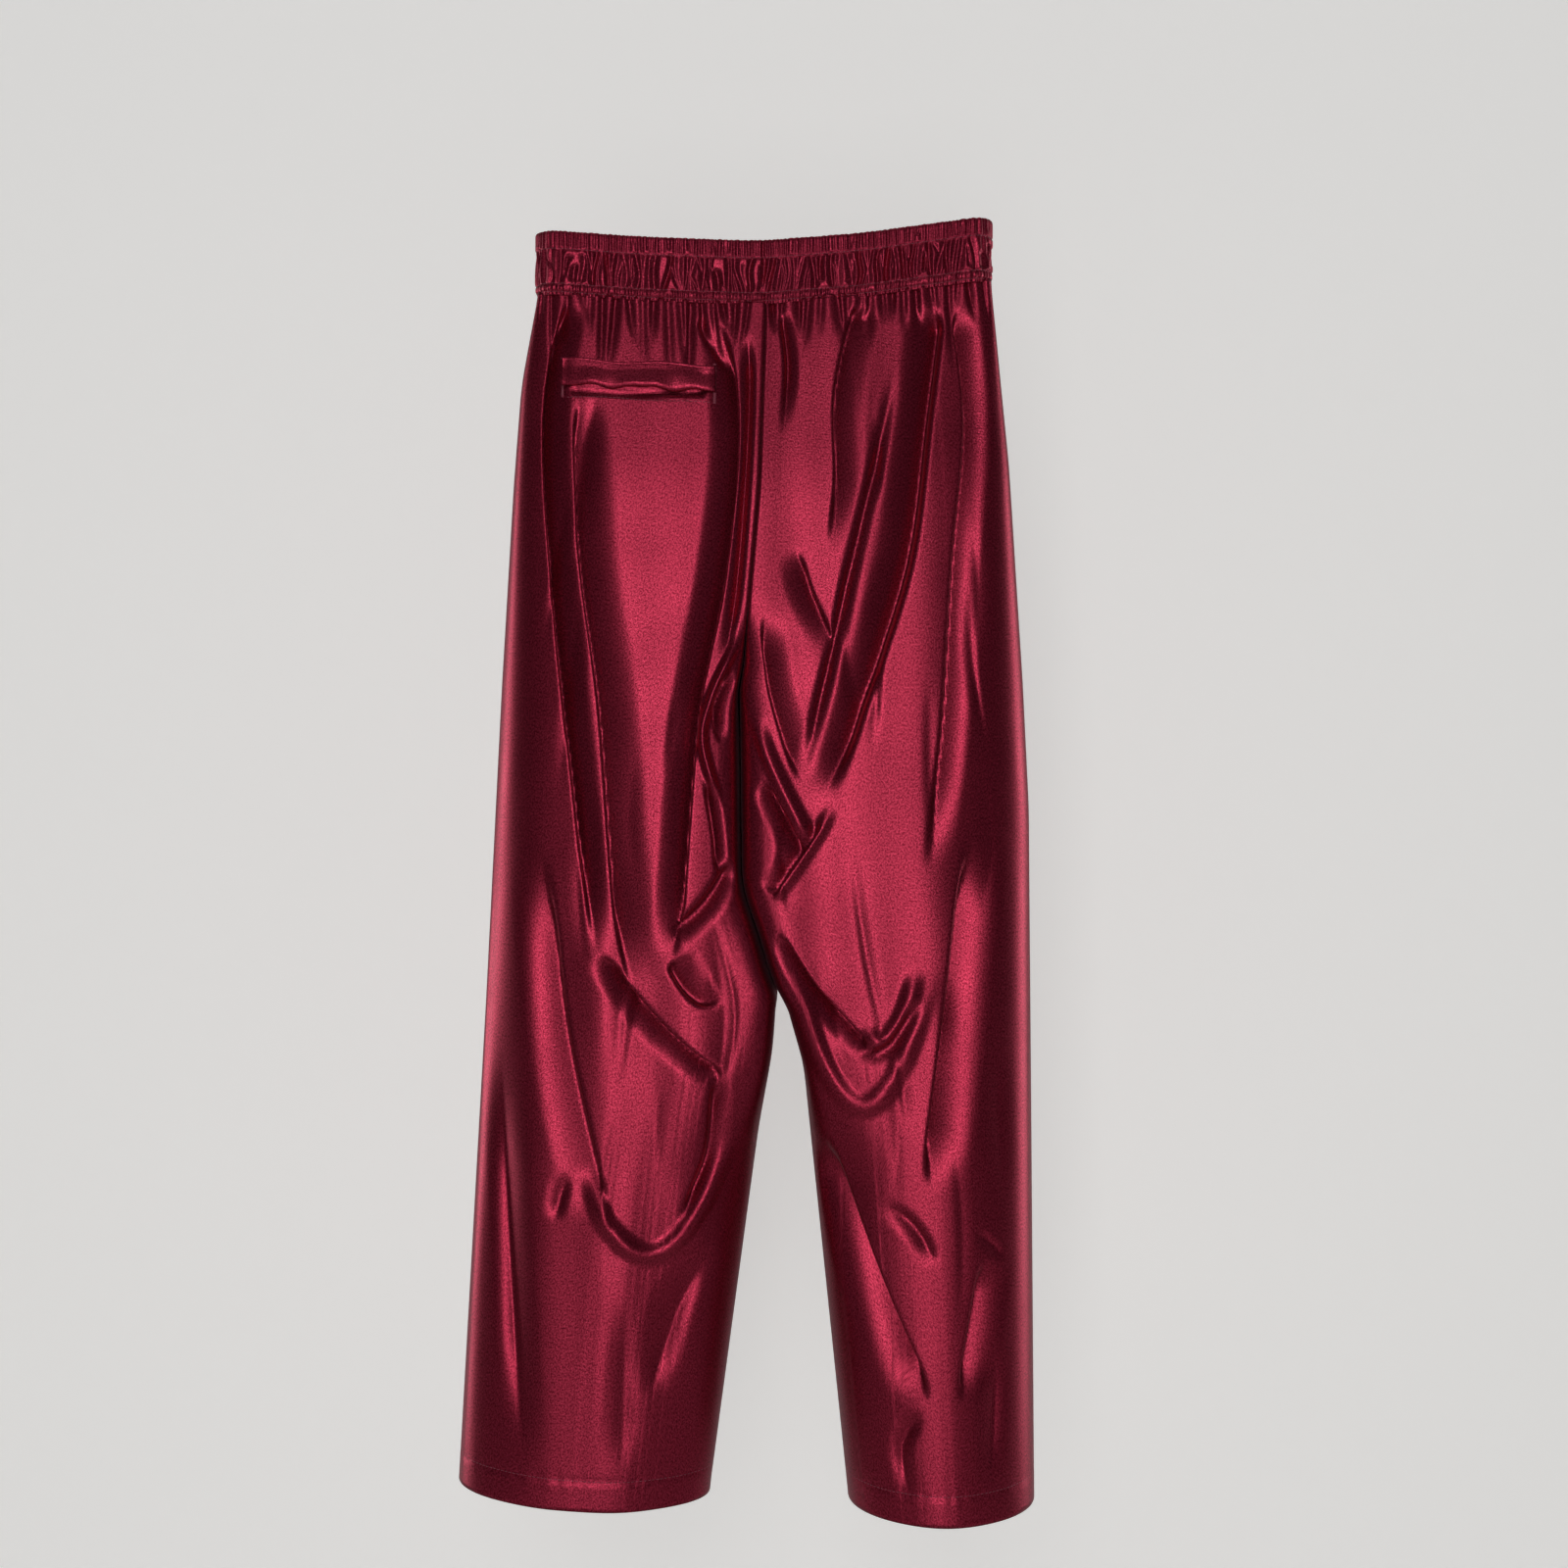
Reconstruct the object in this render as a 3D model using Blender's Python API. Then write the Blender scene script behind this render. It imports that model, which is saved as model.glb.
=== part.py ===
# Elastic-waist satin trousers, hanging from the waistband. Metres, +Z up.
# The origin is the centre of the waist opening. The back of the trousers faces -Y, the wearer's left is -X.
import bpy
import bmesh
import numpy as np

# Driving dimensions
WAIST_HALF_WIDTH = 0.178      # waistband, outside, from the centre to a side seam
WAIST_HALF_DEPTH = 0.020      # waistband, outside, from the centre to the back or front face
BAND_HEIGHT = 0.048
CLOTH = 0.0010                # thickness of one layer of the waistband casing
PANEL_CLOTH = 0.0014          # thickness of a leg panel's solid
POCKET_CLOTH = 0.0010         # thickness of a pocket bag's layer
GAP = 0.0003                  # between pieces that touch
ELASTIC_THICKNESS = 0.0016
ELASTIC_HEIGHT = 0.038
CHANNEL = ELASTIC_THICKNESS + 2 * GAP + 0.0004
CROTCH_Z = -0.346
SWING_Z = -0.366              # height of the axis that the legs swing about
PARTING_Z = -0.597            # where the hanging legs part
HEM_Z = {"left": -0.988, "right": -0.997}
INSEAM_GAP = 0.003            # from the middle line between the legs to each inseam
TUCK = 0.0034                 # how far a leg's upper edge stands in, to pass inside the seat when it swings
TUCK_HEIGHT = 0.050
SWING_X = 0.105               # distance of each leg's joint from the centre
# The seat's lower edge rises from the axis as reach * RELIEF_RISE + sqrt(reach * RELIEF_ROUND)
RELIEF_START = 0.0008
RELIEF_RISE = 0.085
RELIEF_ROUND = 0.0052
# The inner half of a section opens towards the centre seam over this height above the crotch
OPENING_HEIGHT = 0.200
OPENING_POWER = 0.6
# The legs' inner edges come together from INSEAM_GAP over this height, which starts this far above the crotch
CLOSING_HEIGHT = 0.060
CLOSING_START = 0.040

# Height of the waistband's top edge across the width: it sags between the two places it hangs from
BAND_TOP = [(-0.178, -0.001), (-0.090, -0.007), (-0.005, -0.010), (0.075, -0.004), (0.178, 0.010)]
# Side seams: (height, distance from the centre)
SIDE_SEAM = {
    "left": [(-0.045, 0.176), (-0.120, 0.190), (-0.200, 0.196), (-0.350, 0.205), (-0.600, 0.218),
             (-0.988, 0.240)],
    "right": [(-0.040, 0.178), (-0.180, 0.192), (-0.350, 0.203), (-0.450, 0.208), (-0.997, 0.212)],
}
# Centre seam down to the crotch, then the middle line between the legs: (height, x)
MIDDLE = [(-0.050, 0.002), (-0.200, -0.003), (CROTCH_Z, -0.016), (-0.510, -0.014), (PARTING_Z, 0.013)]
# Inseams below the point where the legs part: (height, x)
INSEAM = {
    "left": [(PARTING_Z, 0.010), (-0.640, 0.007), (-0.700, -0.004), (-0.988, -0.043)],
    "right": [(PARTING_Z, 0.016), (-0.650, 0.031), (-0.997, 0.067)],
}
# Half depth, front to back: (height, distance)
HALF_DEPTH = {
    "left": [(-0.050, 0.0195), (-0.100, 0.025), (-0.200, 0.037), (-0.366, 0.048), (-0.600, 0.053),
             (-0.988, 0.056)],
    "right": [(-0.050, 0.0195), (-0.100, 0.025), (-0.200, 0.037), (-0.366, 0.048), (-0.600, 0.055),
              (-0.997, 0.066)],
}
# How square the cross-section is: 2 is an ellipse, larger is nearer to a flat oval
SQUARENESS = [(-0.048, 5.0), (-0.120, 3.0), (-0.300, 2.2), (-0.500, 2.0)]

# Back pocket on the wearer's left, and the side pockets
WELT_X = (-0.156, -0.037)
WELT_Z = (-0.125, -0.103)
WELT_THICKNESS = 0.0022
MOUTH_HEIGHT = 0.006
MOUTH_INSET = 0.004           # from the welt's ends, and below its lower edge
BAG_X = (-0.152, -0.036)
BAG_Z = (-0.270, -0.132)
BAG_INNER_TOP = -0.100
BAG_Y = -0.0245               # outer face of the bag's outer layer
SIDE_MOUTH_Z = (-0.225, -0.075)
SIDE_MOUTH_WIDTH = 0.005
SIDE_BAG_X = (0.062, 0.166)
SIDE_BAG_Z = (-0.315, -0.074)
SIDE_BAG_Y = 0.0172           # outer face of a side bag's front layer
BAG_HOLLOW = 0.0060
BAG_CORNER = 0.030
TACK_WIDTH = 0.0026
TACK_THICKNESS = 0.0010
TACK_CLEARANCE = 0.0008       # of the welt and the tacks, over the curve of the panel
LABEL = (0.032, 0.0006, 0.045)
LABEL_TOP = -0.030

SIDES = {"left": -1, "right": 1}
FACES = {"back": -1, "front": 1}


def at(height, stations):
    """The station table's value at each height, straight between its points."""
    table = np.array(sorted(stations))
    return np.interp(height, table[:, 0], table[:, 1])


def band_top(x):
    return at(x, BAND_TOP)


def centre_opening(height):
    """0 at the crotch and below, where a section is closed, and 1 where it is open at the centre seam."""
    return np.clip((height - CROTCH_Z) / OPENING_HEIGHT, 0, 1) ** OPENING_POWER


def clear_scene():
    for old in list(bpy.data.objects):
        bpy.data.objects.remove(old, do_unlink=True)


def material(name, color, roughness, metallic=0.0, sheen=0.0):
    made = bpy.data.materials.new(name)
    made.use_nodes = True
    shader = made.node_tree.nodes["Principled BSDF"]
    shader.inputs["Base Color"].default_value = (*color, 1)
    shader.inputs["Roughness"].default_value = roughness
    shader.inputs["Metallic"].default_value = metallic
    shader.inputs["Sheen Weight"].default_value = sheen
    made.diffuse_color = (*color, 1)
    return made


def add_object(name, points, faces, finish, parent=None):
    """A mesh object with its origin at its parent's, from points in world space."""
    mesh = bpy.data.meshes.new(name)
    place = np.array(parent.location) if parent else np.zeros(3)
    mesh.from_pydata((np.asarray(points) - place).tolist(), [], faces)
    mesh.materials.append(finish)
    mesh.shade_smooth()
    mesh.set_sharp_from_angle(angle=0.7)
    made = bpy.data.objects.new(name, mesh)
    bpy.context.collection.objects.link(made)
    made.parent = parent
    return made


def closed_grid(outer, inner):
    """A thin closed shell between two grids of the same shape. The outer grid's rows run down and its
    columns run so that its faces point outwards."""
    rows, columns = outer.shape[:2]
    index = np.arange(rows * columns).reshape(rows, columns)
    other = index + rows * columns
    faces = []
    for r in range(rows - 1):
        for c in range(columns - 1):
            faces.append((index[r, c], index[r + 1, c], index[r + 1, c + 1], index[r, c + 1]))
            faces.append((other[r, c], other[r, c + 1], other[r + 1, c + 1], other[r + 1, c]))
    rim = [*index[0, :], *index[1:, -1], *index[-1, -2::-1], *index[-2:0:-1, 0]]
    for a, b in zip(rim, rim[1:] + rim[:1]):
        faces.append((a, b, b + rows * columns, a + rows * columns))
    points = np.concatenate([outer.reshape(-1, 3), inner.reshape(-1, 3)])
    return points, [tuple(int(i) for i in face) for face in faces]


def facing_out(made):
    """Turns a closed mesh's faces outwards, if they point in."""
    shape = bmesh.new()
    shape.from_mesh(made.data)
    if shape.calc_volume(signed=True) < 0:
        bmesh.ops.reverse_faces(shape, faces=shape.faces)
    shape.to_mesh(made.data)
    shape.free()
    made.data.set_sharp_from_angle(angle=0.7)
    return made


def panel_surface(side, face, turn, height):
    """Points of a panel. turn runs from 0 at the side seam to pi at the centre seam or inseam, and height is
    z; both are grids. Each cross-section is half a squared ellipse between the seams, and above the crotch
    its inner half opens towards the centre, where left and right panels meet."""
    sign = SIDES[side]
    tuck = np.where(height < SWING_Z, np.clip((height - SWING_Z) / TUCK_HEIGHT + 1, 0, 1), 0) * TUCK
    outer_x = sign * (at(height, SIDE_SEAM[side]) - tuck)
    closing = np.clip((CROTCH_Z + CLOSING_START - height) / CLOSING_HEIGHT, 0, 1)
    apart = closing * (INSEAM_GAP - GAP / 2) + GAP / 2
    middle_x = at(height, MIDDLE) + sign * (apart + tuck)
    inner_x = np.where(height > PARTING_Z, middle_x, at(height, INSEAM[side]))
    power = 2 / at(height, SQUARENESS)
    depth = at(height, HALF_DEPTH[side]) - tuck
    across = np.sign(np.cos(turn)) * np.abs(np.cos(turn)) ** power
    bulge = np.sin(np.clip(turn, 0, np.pi)) ** power
    open_centre = centre_opening(height)
    bulge = np.where(turn > np.pi / 2, open_centre + (1 - open_centre) * bulge, bulge)
    x = (outer_x + inner_x) / 2 + (outer_x - inner_x) / 2 * across
    y = FACES[face] * (depth * bulge + GAP / 2)
    return np.stack([x, y, height], axis=-1)


def inward(grid, distance):
    """The grid moved towards the inside of the trousers, square to its surface."""
    down = np.gradient(grid, axis=0)
    across = np.gradient(grid, axis=1)
    normal = np.cross(down, across)
    normal[..., 2] = 0
    normal /= np.linalg.norm(normal, axis=-1, keepdims=True)
    return grid + normal * distance


def panel(name, side, face, rows, top, bottom, finish, parent, columns=12):
    """A closed thin panel between two edges, each a function of x and y that gives its height."""
    turn = np.linspace(0, np.pi, columns + 1)
    start = panel_surface(side, face, turn, np.full(columns + 1, -0.05))
    high = top(start[:, 0], start[:, 1])
    end = panel_surface(side, face, turn, np.full(columns + 1, SWING_Z if bottom is relief else HEM_Z[side]))
    low = bottom(end[:, 0], end[:, 1])
    share = np.linspace(0, 1, rows + 1)[:, None]
    height = high + (low - high) * share
    outer = panel_surface(side, face, np.broadcast_to(turn, height.shape), height)
    sign = -SIDES[side] * FACES[face]
    inner = inward(outer, sign * PANEL_CLOTH)
    # The inner wall keeps to its own half, so that neighbours meet only at their seams.
    inner[:, 0, 0] = outer[:, 0, 0] - SIDES[side] * PANEL_CLOTH
    inner[..., 1] = FACES[face] * np.maximum(FACES[face] * inner[..., 1], GAP / 2)
    return facing_out(add_object(name, *closed_grid(outer, inner), finish, parent))


def relief(x, y):
    """The lower edge of the seat: level with the swing axis at the seams, higher where the panels stand
    further from the axis, so that a swinging leg's upper edge passes inside it."""
    reach = np.abs(y)
    return SWING_Z + RELIEF_START + RELIEF_RISE * reach + np.sqrt(RELIEF_ROUND * reach)


def waistline(x, y):
    return band_top(x) - BAND_HEIGHT - GAP


def swing_line(x, y):
    return np.full_like(x, SWING_Z - GAP)


def hem_line(side):
    def line(x, y):
        return np.full_like(x, HEM_Z[side])
    return line


def oval(half_width, half_depth, start, end, straight=9, bend=6):
    """Points on a flat oval seen from above, from one side seam to the other: bend, straight run, bend."""
    radius = half_depth
    middle = half_width - radius
    turn = np.linspace(start, start + (end - start) / 2, bend + 1)
    first = np.stack([np.cos(turn) * radius + middle * np.sign(np.cos(start)), np.sin(turn) * radius], axis=-1)
    turn = np.linspace(start + (end - start) / 2, end, bend + 1)
    last = np.stack([np.cos(turn) * radius + middle * np.sign(np.cos(end)), np.sin(turn) * radius], axis=-1)
    run = np.linspace(first[-1], last[0], straight + 1)[1:-1]
    return np.concatenate([first, run, last])


def waistband_half(name, face, finish):
    """One half of the casing: an upside-down U profile carried round half of the oval."""
    wall = [(0, -BAND_HEIGHT), (0, 0), (2 * CLOTH + CHANNEL, 0), (2 * CLOTH + CHANNEL, -BAND_HEIGHT),
            (CLOTH + CHANNEL, -BAND_HEIGHT), (CLOTH + CHANNEL, -CLOTH), (CLOTH, -CLOTH), (CLOTH, -BAND_HEIGHT)]
    turns = (np.pi, 2 * np.pi) if face == "back" else (np.pi, 0)
    loops = []
    for inset, drop in wall:
        line = oval(WAIST_HALF_WIDTH - inset, WAIST_HALF_DEPTH - inset, *turns)
        line[:, 1] += FACES[face] * GAP / 2
        loops.append(np.column_stack([line, band_top(line[:, 0]) + drop]))
    grid = np.stack(loops, axis=1)
    count, around = grid.shape[:2]
    index = np.arange(count * around).reshape(count, around)
    faces = []
    for i in range(count - 1):
        for k in range(around):
            after = (k + 1) % around
            faces.append((index[i, k], index[i + 1, k], index[i + 1, after], index[i, after]))
    # The ends of the U are closed with three quads each: outer wall, top, inner wall.
    for corners in ((0, 1, 6, 7), (1, 2, 5, 6), (2, 3, 4, 5)):
        faces.append(tuple(index[0, k] for k in corners))
        faces.append(tuple(index[-1, k] for k in reversed(corners)))
    faces = [tuple(int(i) for i in face) for face in faces]
    return facing_out(add_object(name, grid.reshape(-1, 3), faces, finish))


def elastic_loop(name, finish):
    """A flat band of elastic round the whole waist, inside the casing."""
    inset = CLOTH + GAP + 0.0002
    top = -CLOTH - GAP - 0.004
    corners = [(inset, top - ELASTIC_HEIGHT), (inset, top), (inset + ELASTIC_THICKNESS, top),
               (inset + ELASTIC_THICKNESS, top - ELASTIC_HEIGHT)]
    rings = []
    for away, height in corners:
        back = oval(WAIST_HALF_WIDTH - away, WAIST_HALF_DEPTH - away, np.pi, 2 * np.pi)
        front = oval(WAIST_HALF_WIDTH - away, WAIST_HALF_DEPTH - away, 0, np.pi)
        ring = np.concatenate([back[:-1], front[:-1]])
        rings.append(np.column_stack([ring, band_top(ring[:, 0]) + height]))
    grid = np.stack(rings, axis=1)
    count = len(grid)
    faces = []
    for i in range(count):
        for k in range(4):
            a, b = i * 4 + k, i * 4 + (k + 1) % 4
            c, d = (i + 1) % count * 4 + (k + 1) % 4, (i + 1) % count * 4 + k
            faces.append((a, b, c, d))
    return facing_out(add_object(name, grid.reshape(-1, 3), faces, finish))


def layer(name, x_range, z_range, height, thickness, finish, columns=8, rows=2):
    """A strip that follows the left back panel, its outer face standing this high over the panel's."""
    x, z = np.meshgrid(np.linspace(*x_range, columns + 1), np.linspace(z_range[1], z_range[0], rows + 1))
    outer = np.stack([x, panel_y("left", "back", x, z) + FACES["back"] * height, z], axis=-1)
    inner = outer - [0, FACES["back"] * thickness, 0]
    return facing_out(add_object(name, *closed_grid(outer, inner), finish))


def bag_layer(name, x_range, z_range, y, finish, steps=5):
    """One flat layer of a pocket bag, hanging straight, with its lower corners rounded. y is its back face."""
    low, high = sorted(x_range)
    turn = np.linspace(0, np.pi / 2, steps + 1)
    round_x, round_z = BAG_CORNER * (1 - np.cos(turn)), BAG_CORNER * (1 - np.sin(turn))
    outline = [(low, z_range[1]), *zip(low + round_x, z_range[0] + round_z),
               *zip(high - round_x[::-1], z_range[0] + round_z[::-1]), (high, z_range[1])]
    count = len(outline)
    points = [(x, y, z) for x, z in outline] + [(x, y + POCKET_CLOTH, z) for x, z in outline]
    faces = [tuple(range(count)), tuple(range(2 * count - 1, count - 1, -1))]
    for a in range(count):
        b = (a + 1) % count
        faces.append((b, a, a + count, b + count))
    return facing_out(add_object(name, points, faces, finish))


def panel_y(side, face, x, z):
    """The y of a panel's outer surface at x and z."""
    sign = SIDES[side]
    outer_x = sign * at(z, SIDE_SEAM[side])
    inner_x = at(z, MIDDLE)
    across = (x - (outer_x + inner_x) / 2) / ((outer_x - inner_x) / 2)
    power = at(z, SQUARENESS)
    bulge = np.clip(1 - np.abs(across) ** power, 0, 1) ** (1 / power)
    open_centre = centre_opening(z)
    bulge = np.where(across < 0, open_centre + (1 - open_centre) * bulge, bulge)
    return FACES[face] * (at(z, HALF_DEPTH[side]) * bulge + GAP / 2)


def box(name, low, high, finish=None):
    """A block between two corners. Without a finish it is a cutter."""
    mesh = bpy.data.meshes.new(name)
    shape = bmesh.new()
    bmesh.ops.create_cube(shape, size=1)
    low, high = np.array(low), np.array(high)
    for corner in shape.verts:
        corner.co = (low + high) / 2 + np.array(corner.co) * (high - low)
    shape.to_mesh(mesh)
    shape.free()
    made = bpy.data.objects.new(name, mesh)
    bpy.context.collection.objects.link(made)
    if finish:
        mesh.materials.append(finish)
    else:
        made.hide_render = True
        made.display_type = "WIRE"
    return made


def cut(made, cutter):
    step = made.modifiers.new(cutter.name, "BOOLEAN")
    step.operation = "DIFFERENCE"
    step.solver = "EXACT"
    step.object = cutter


def joint_empty(name, side):
    """An empty on the axis that the leg swings about."""
    made = bpy.data.objects.new(name, None)
    made.location = (SIDES[side] * SWING_X, 0, SWING_Z)
    bpy.context.collection.objects.link(made)
    return made


def build():
    clear_scene()
    satin = material("satin", (0.23, 0.012, 0.035), 0.38, 0.3, 0.3)
    pocketing = material("pocketing", (0.16, 0.012, 0.028), 0.85)
    webbing = material("elastic", (0.72, 0.70, 0.66), 0.9)
    thread = material("thread", (0.17, 0.010, 0.028), 0.55)
    tape = material("label_tape", (0.80, 0.78, 0.74), 0.6)

    for face in FACES:
        waistband_half(f"waistband_casing_{face}", face, satin)
    elastic_loop("waist_elastic", webbing)

    seats = {}
    for side in SIDES:
        swing = joint_empty(f"{side}_leg_swing", side)
        for face in FACES:
            seats[side, face] = panel(f"{side}_{face}_seat", side, face, 9, waistline, relief, satin, None)
            hem = hem_line(side)
            panel(f"{side}_{face}_leg", side, face, 10, swing_line, hem, satin, swing)
        # The side pocket's mouth: the side seam stands open between its ends.
        reach = sorted((SIDES[side] * 0.168, SIDES[side] * 0.215))
        mouth = box(f"{side}_pocket_mouth_cutter", (reach[0], 0, SIDE_MOUTH_Z[0]),
                    (reach[1], SIDE_MOUTH_WIDTH, SIDE_MOUTH_Z[1]))
        cut(seats[side, "front"], mouth)
        span = [SIDES[side] * x for x in SIDE_BAG_X]
        front_y = SIDE_BAG_Y - POCKET_CLOTH
        bag_layer(f"{side}_pocket_bag_front", span, SIDE_BAG_Z, front_y, pocketing)
        bag_layer(f"{side}_pocket_bag_back", span, SIDE_BAG_Z, front_y - BAG_HOLLOW - POCKET_CLOTH, pocketing)

    # Back pocket: a slot in the panel, the welt over it and the two layers of the bag behind it.
    slot_low = WELT_Z[0] - MOUTH_INSET
    slot = box("back_pocket_cutter", (WELT_X[0] + MOUTH_INSET, -0.060, slot_low),
               (WELT_X[1] - MOUTH_INSET, -0.010, slot_low + MOUTH_HEIGHT))
    cut(seats["left", "back"], slot)
    layer("back_pocket_welt", WELT_X, WELT_Z, WELT_THICKNESS + TACK_CLEARANCE, WELT_THICKNESS, satin)
    bag_layer("back_pocket_bag_outer", BAG_X, BAG_Z, BAG_Y, pocketing)
    inner_bag_y = BAG_Y + POCKET_CLOTH + BAG_HOLLOW
    bag_layer("back_pocket_bag_inner", BAG_X, (BAG_Z[0], BAG_INNER_TOP), inner_bag_y, pocketing)
    for name, x in (("outer", WELT_X[0] - TACK_WIDTH), ("inner", WELT_X[1] + TACK_WIDTH)):
        tack_x = (x - TACK_WIDTH / 2, x + TACK_WIDTH / 2)
        layer(f"bar_tack_{name}", tack_x, (WELT_Z[0] - 0.001, WELT_Z[1] + 0.001),
              TACK_THICKNESS + TACK_CLEARANCE, TACK_THICKNESS, thread, columns=1)

    inner_wall = -(WAIST_HALF_DEPTH - 2 * CLOTH - CHANNEL) + GAP
    box("care_label", (-LABEL[0] / 2, inner_wall, LABEL_TOP - LABEL[2]),
        (LABEL[0] / 2, inner_wall + LABEL[1], LABEL_TOP), tape)


build()
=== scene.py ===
# Satin training trousers hung by the waistband: gathered waist, four leg panels, pockets and hems.
import bpy
import math
import numpy as np
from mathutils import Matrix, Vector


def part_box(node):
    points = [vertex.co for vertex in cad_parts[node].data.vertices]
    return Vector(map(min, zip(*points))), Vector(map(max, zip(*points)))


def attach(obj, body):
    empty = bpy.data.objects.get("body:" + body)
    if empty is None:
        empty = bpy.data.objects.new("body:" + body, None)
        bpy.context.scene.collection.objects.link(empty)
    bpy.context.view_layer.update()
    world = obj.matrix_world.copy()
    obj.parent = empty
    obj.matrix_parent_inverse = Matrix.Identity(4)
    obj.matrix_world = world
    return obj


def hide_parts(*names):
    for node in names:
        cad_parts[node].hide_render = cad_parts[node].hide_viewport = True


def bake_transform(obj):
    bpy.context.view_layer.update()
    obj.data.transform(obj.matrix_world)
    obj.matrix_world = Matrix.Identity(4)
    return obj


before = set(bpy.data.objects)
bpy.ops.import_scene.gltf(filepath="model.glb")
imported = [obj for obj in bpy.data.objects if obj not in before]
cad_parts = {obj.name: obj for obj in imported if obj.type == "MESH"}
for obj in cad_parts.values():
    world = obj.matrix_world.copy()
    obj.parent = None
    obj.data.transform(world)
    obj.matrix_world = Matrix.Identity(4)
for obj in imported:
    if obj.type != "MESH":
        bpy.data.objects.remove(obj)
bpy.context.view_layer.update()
print("frame loaded:", len(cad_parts), "nodes")

scene = bpy.context.scene
scene.view_settings.view_transform = "Standard"

# ---------- small helpers ----------


def ease(t):
    # 0 below 0, 1 above 1, smooth between
    t = np.clip(t, 0, 1)
    return t * t * (3 - 2 * t)


def lineAt(value, table, blur=0.0):
    # the table's second number at each value, straight between its points and averaged over a short stretch
    table = np.array(sorted(table))
    if not blur:
        return np.interp(value, table[:, 0], table[:, 1])
    shifts = np.linspace(-1, 1, 9)
    weights = (1 - shifts ** 2) + 0.05
    total = sum(w * np.interp(value + s * blur, table[:, 0], table[:, 1]) for s, w in zip(shifts, weights))
    return total / weights.sum()


def smoothPath(points, per=5):
    # a curve through the points: each stretch is a cubic whose ends lean along the neighbours
    p = np.array(points, float)
    lean = np.gradient(p, axis=0)
    t = np.linspace(0, 1, per, endpoint=False)[:, None]
    a, b, c, d = 2 * t**3 - 3 * t**2 + 1, t**3 - 2 * t**2 + t, -2 * t**3 + 3 * t**2, t**3 - t**2
    parts = [a * p[i] + b * lean[i] + c * p[i + 1] + d * lean[i + 1] for i in range(len(p) - 1)]
    return np.concatenate(parts + [p[-1:]])


crease = dict(lean=1.25, floorRound=0.002, fall=1.8)


def foldField(x, z, folds):
    # each fold is a groove (sharp floor) or a ridge (round top) along a line: its height falls off with the
    # distance to the line, over its own reach on each side, and fades towards both ends. A groove with one
    # steep side leans under that side, so its floor is hidden there. Gives the height and the sideways lean
    height, leanX, leanZ = np.zeros_like(x), np.zeros_like(x), np.zeros_like(x)
    for kind, path, left, right, depth, ends in folds:
        line = smoothPath(path)
        reach = max(left, right)
        near = ((x > line[:, 0].min() - reach) & (x < line[:, 0].max() + reach)
                & (z > line[:, 1].min() - reach) & (z < line[:, 1].max() + reach))
        px, pz = x[near], z[near]
        best = np.full(px.shape, 1e9)
        side, along = np.zeros_like(best), np.zeros_like(best)
        rightX, rightZ = np.zeros_like(best), np.zeros_like(best)
        step = np.diff(line, axis=0)
        length = np.linalg.norm(step, axis=1)
        start = np.concatenate([[0], np.cumsum(length)])
        for i in range(len(step)):
            dx, dz = px - line[i, 0], pz - line[i, 1]
            t = np.clip((dx * step[i, 0] + dz * step[i, 1]) / length[i] ** 2, 0, 1)
            away = np.hypot(dx - t * step[i, 0], dz - t * step[i, 1])
            closer = away < best
            best = np.where(closer, away, best)
            side = np.where(closer, step[i, 0] * dz - step[i, 1] * dx, side)
            along = np.where(closer, (start[i] + t * length[i]) / start[-1], along)
            rightX = np.where(closer, -step[i, 1] / length[i], rightX)
            rightZ = np.where(closer, step[i, 0] / length[i], rightZ)
        t = np.clip(best / np.where(side > 0, right, left), 0, 1)
        fade = ease(along / max(ends[0], 1e-3)) * ease((1 - along) / max(ends[1], 1e-3))
        if kind == "ridge":
            height[near] += depth * (1 - t * t) ** 2 * fade
            continue
        shape = (1 - np.sqrt(t * t + crease["floorRound"])).clip(0) ** crease["fall"] * fade
        height[near] -= depth * shape
        steep = crease["lean"] * (1 - min(left, right) / reach) * np.sign(left - right)
        leanX[near] += steep * depth * shape * rightX
        leanZ[near] += steep * depth * shape * rightZ
    return height, leanX, leanZ


def gridFaces(rows, columns, wrap=False):
    index = np.arange(rows * columns).reshape(rows, columns)
    if wrap:
        index = np.concatenate([index, index[:, :1]], axis=1)
    return np.stack([index[:-1, :-1], index[1:, :-1], index[1:, 1:], index[:-1, 1:]], axis=-1).reshape(-1, 4)


def newMesh(name, points, faces, material, uv=None, caps=(), smooth=True):
    # caps are faces with any number of corners
    mesh = bpy.data.meshes.new(name)
    faces = np.asarray(faces).tolist() + list(caps)
    mesh.from_pydata(np.asarray(points, float).reshape(-1, 3).tolist(), [], faces)
    if uv is not None:
        layer = mesh.uv_layers.new(name="cloth")
        corner = np.empty(len(mesh.loops), np.int32)
        mesh.loops.foreach_get("vertex_index", corner)
        layer.data.foreach_set("uv", np.asarray(uv, np.float32).reshape(-1, 2)[corner].ravel())
    mesh.polygons.foreach_set("use_smooth", [smooth] * len(mesh.polygons))
    mesh.materials.append(material)
    mesh.update()
    piece = bpy.data.objects.new(name, mesh)
    scene.collection.objects.link(piece)
    return piece


def clothUv(grid):
    # how far each point is along the cloth, across and down, in metres
    across = np.linalg.norm(np.diff(grid, axis=1), axis=-1)
    down = np.linalg.norm(np.diff(grid, axis=0), axis=-1)
    u = np.concatenate([np.zeros((len(grid), 1)), np.cumsum(across, axis=1)], axis=1)
    v = np.concatenate([np.zeros((1, grid.shape[1])), np.cumsum(down, axis=0)], axis=0)
    return np.stack([u, 1 - v], axis=-1)


def thicken(piece, thickness):
    wall = piece.modifiers.new("cloth thickness", "SOLIDIFY")
    wall.thickness = thickness
    wall.offset = -1
    wall.use_even_offset = False


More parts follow.
